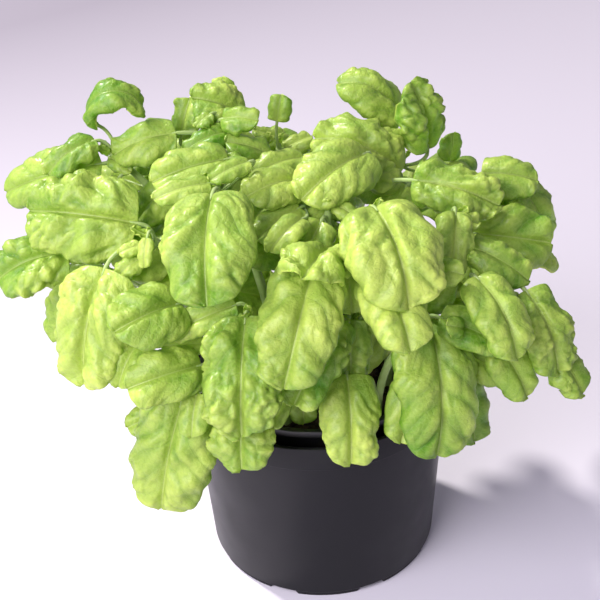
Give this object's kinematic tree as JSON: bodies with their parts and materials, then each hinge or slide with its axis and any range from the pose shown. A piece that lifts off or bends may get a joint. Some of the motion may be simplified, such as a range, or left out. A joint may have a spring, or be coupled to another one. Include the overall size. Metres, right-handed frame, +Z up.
{
  "type": "potted lettuce leaf basil",
  "caption": "Lettuce leaf basil plant with large puckered leaves on slender stems, in soil in a thin nursery pot inside a round anthracite plant pot.",
  "frame": {"origin": "centre of the outer pot's foot, on the surface it stands on", "axes": "+Z up along the pot's axis, -Y towards the front seen in the picture, +X to the right seen from the front"},
  "size_m": [0.2764, 0.2103, 0.2411],
  "materials": {
    "outer_pot": "satin",
    "nursery_pot": "satin",
    "soil": "matte",
    "leaf": "satin"
  },
  "bodies": {
    "root": {"outer_pot": "outer_pot", "nursery_pot": "nursery_pot", "soil": "soil", "leafy_stem_01": "leaf", "leafy_stem_02": "leaf", "leafy_stem_03": "leaf", "leafy_stem_04": "leaf", "leafy_stem_05": "leaf", "leafy_stem_06": "leaf", "leafy_stem_07": "leaf", "leafy_stem_08": "leaf", "leafy_stem_09": "leaf", "leafy_stem_10": "leaf", "leafy_stem_11": "leaf", "leafy_stem_12": "leaf", "leafy_stem_13": "leaf", "leafy_stem_14": "leaf", "leafy_stem_15": "leaf", "leafy_stem_16": "leaf", "leafy_stem_17": "leaf", "leafy_stem_18": "leaf", "leafy_stem_19": "leaf", "leafy_stem_20": "leaf", "leafy_stem_21": "leaf", "leafy_stem_22": "leaf", "leafy_stem_23": "leaf", "leafy_stem_24": "leaf"}
  },
  "joints": []
}
